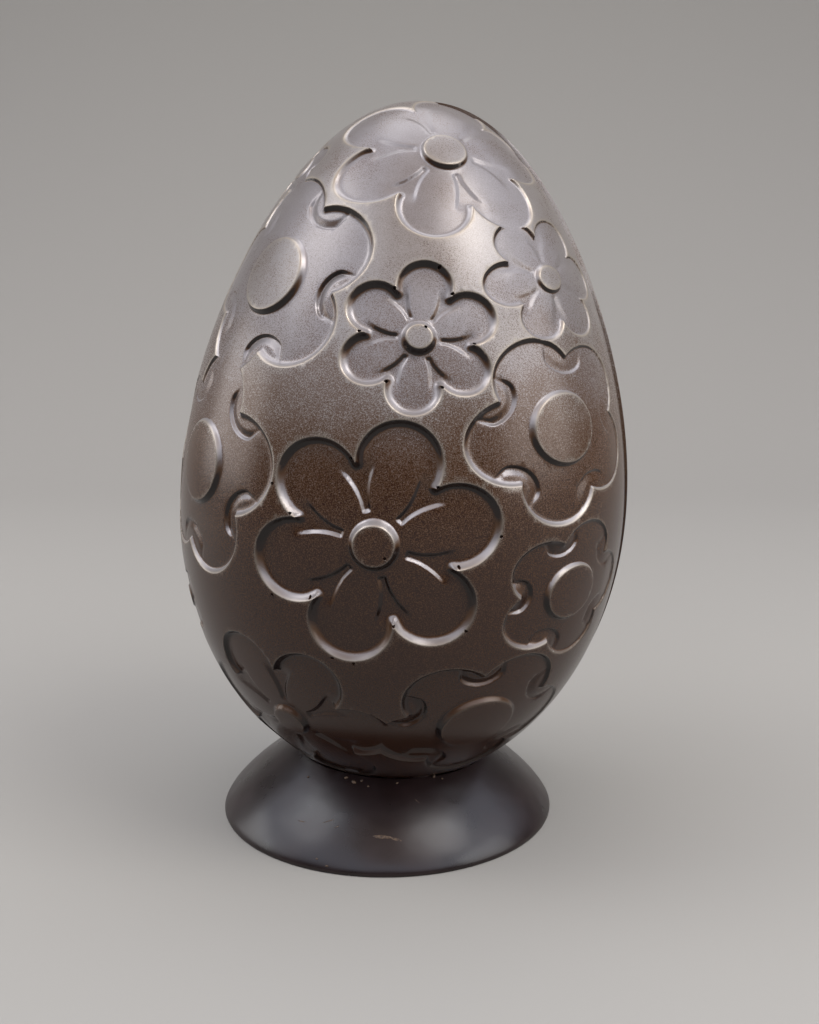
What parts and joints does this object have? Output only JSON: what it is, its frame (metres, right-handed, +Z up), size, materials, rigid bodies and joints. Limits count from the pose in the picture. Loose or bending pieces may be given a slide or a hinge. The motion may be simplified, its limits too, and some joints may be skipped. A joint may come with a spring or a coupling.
{
  "type": "chocolate egg",
  "caption": "Large hollow-moulded chocolate egg with sunk daisies and blossoms all over, standing on a low flared chocolate foot; a sweet for show and eating.",
  "frame": {"origin": "on the ground, under the middle of the egg", "axes": "+Z up along the egg's height; -Y is the front, where the great daisy looks; +X is to the right as seen from the front"},
  "size_m": [0.1206, 0.1198, 0.1934],
  "materials": {
    "bronze_dusted_chocolate": "dark chocolate dusted with a fine bronze lustre powder, silvery mauve where it catches the light and dark brown in the flowers",
    "dark_chocolate": "plain dark chocolate, satin, with light scuffs"
  },
  "bodies": {
    "root": {"egg_front": "bronze_dusted_chocolate", "egg_back": "bronze_dusted_chocolate", "foot": "dark_chocolate"}
  },
  "joints": []
}
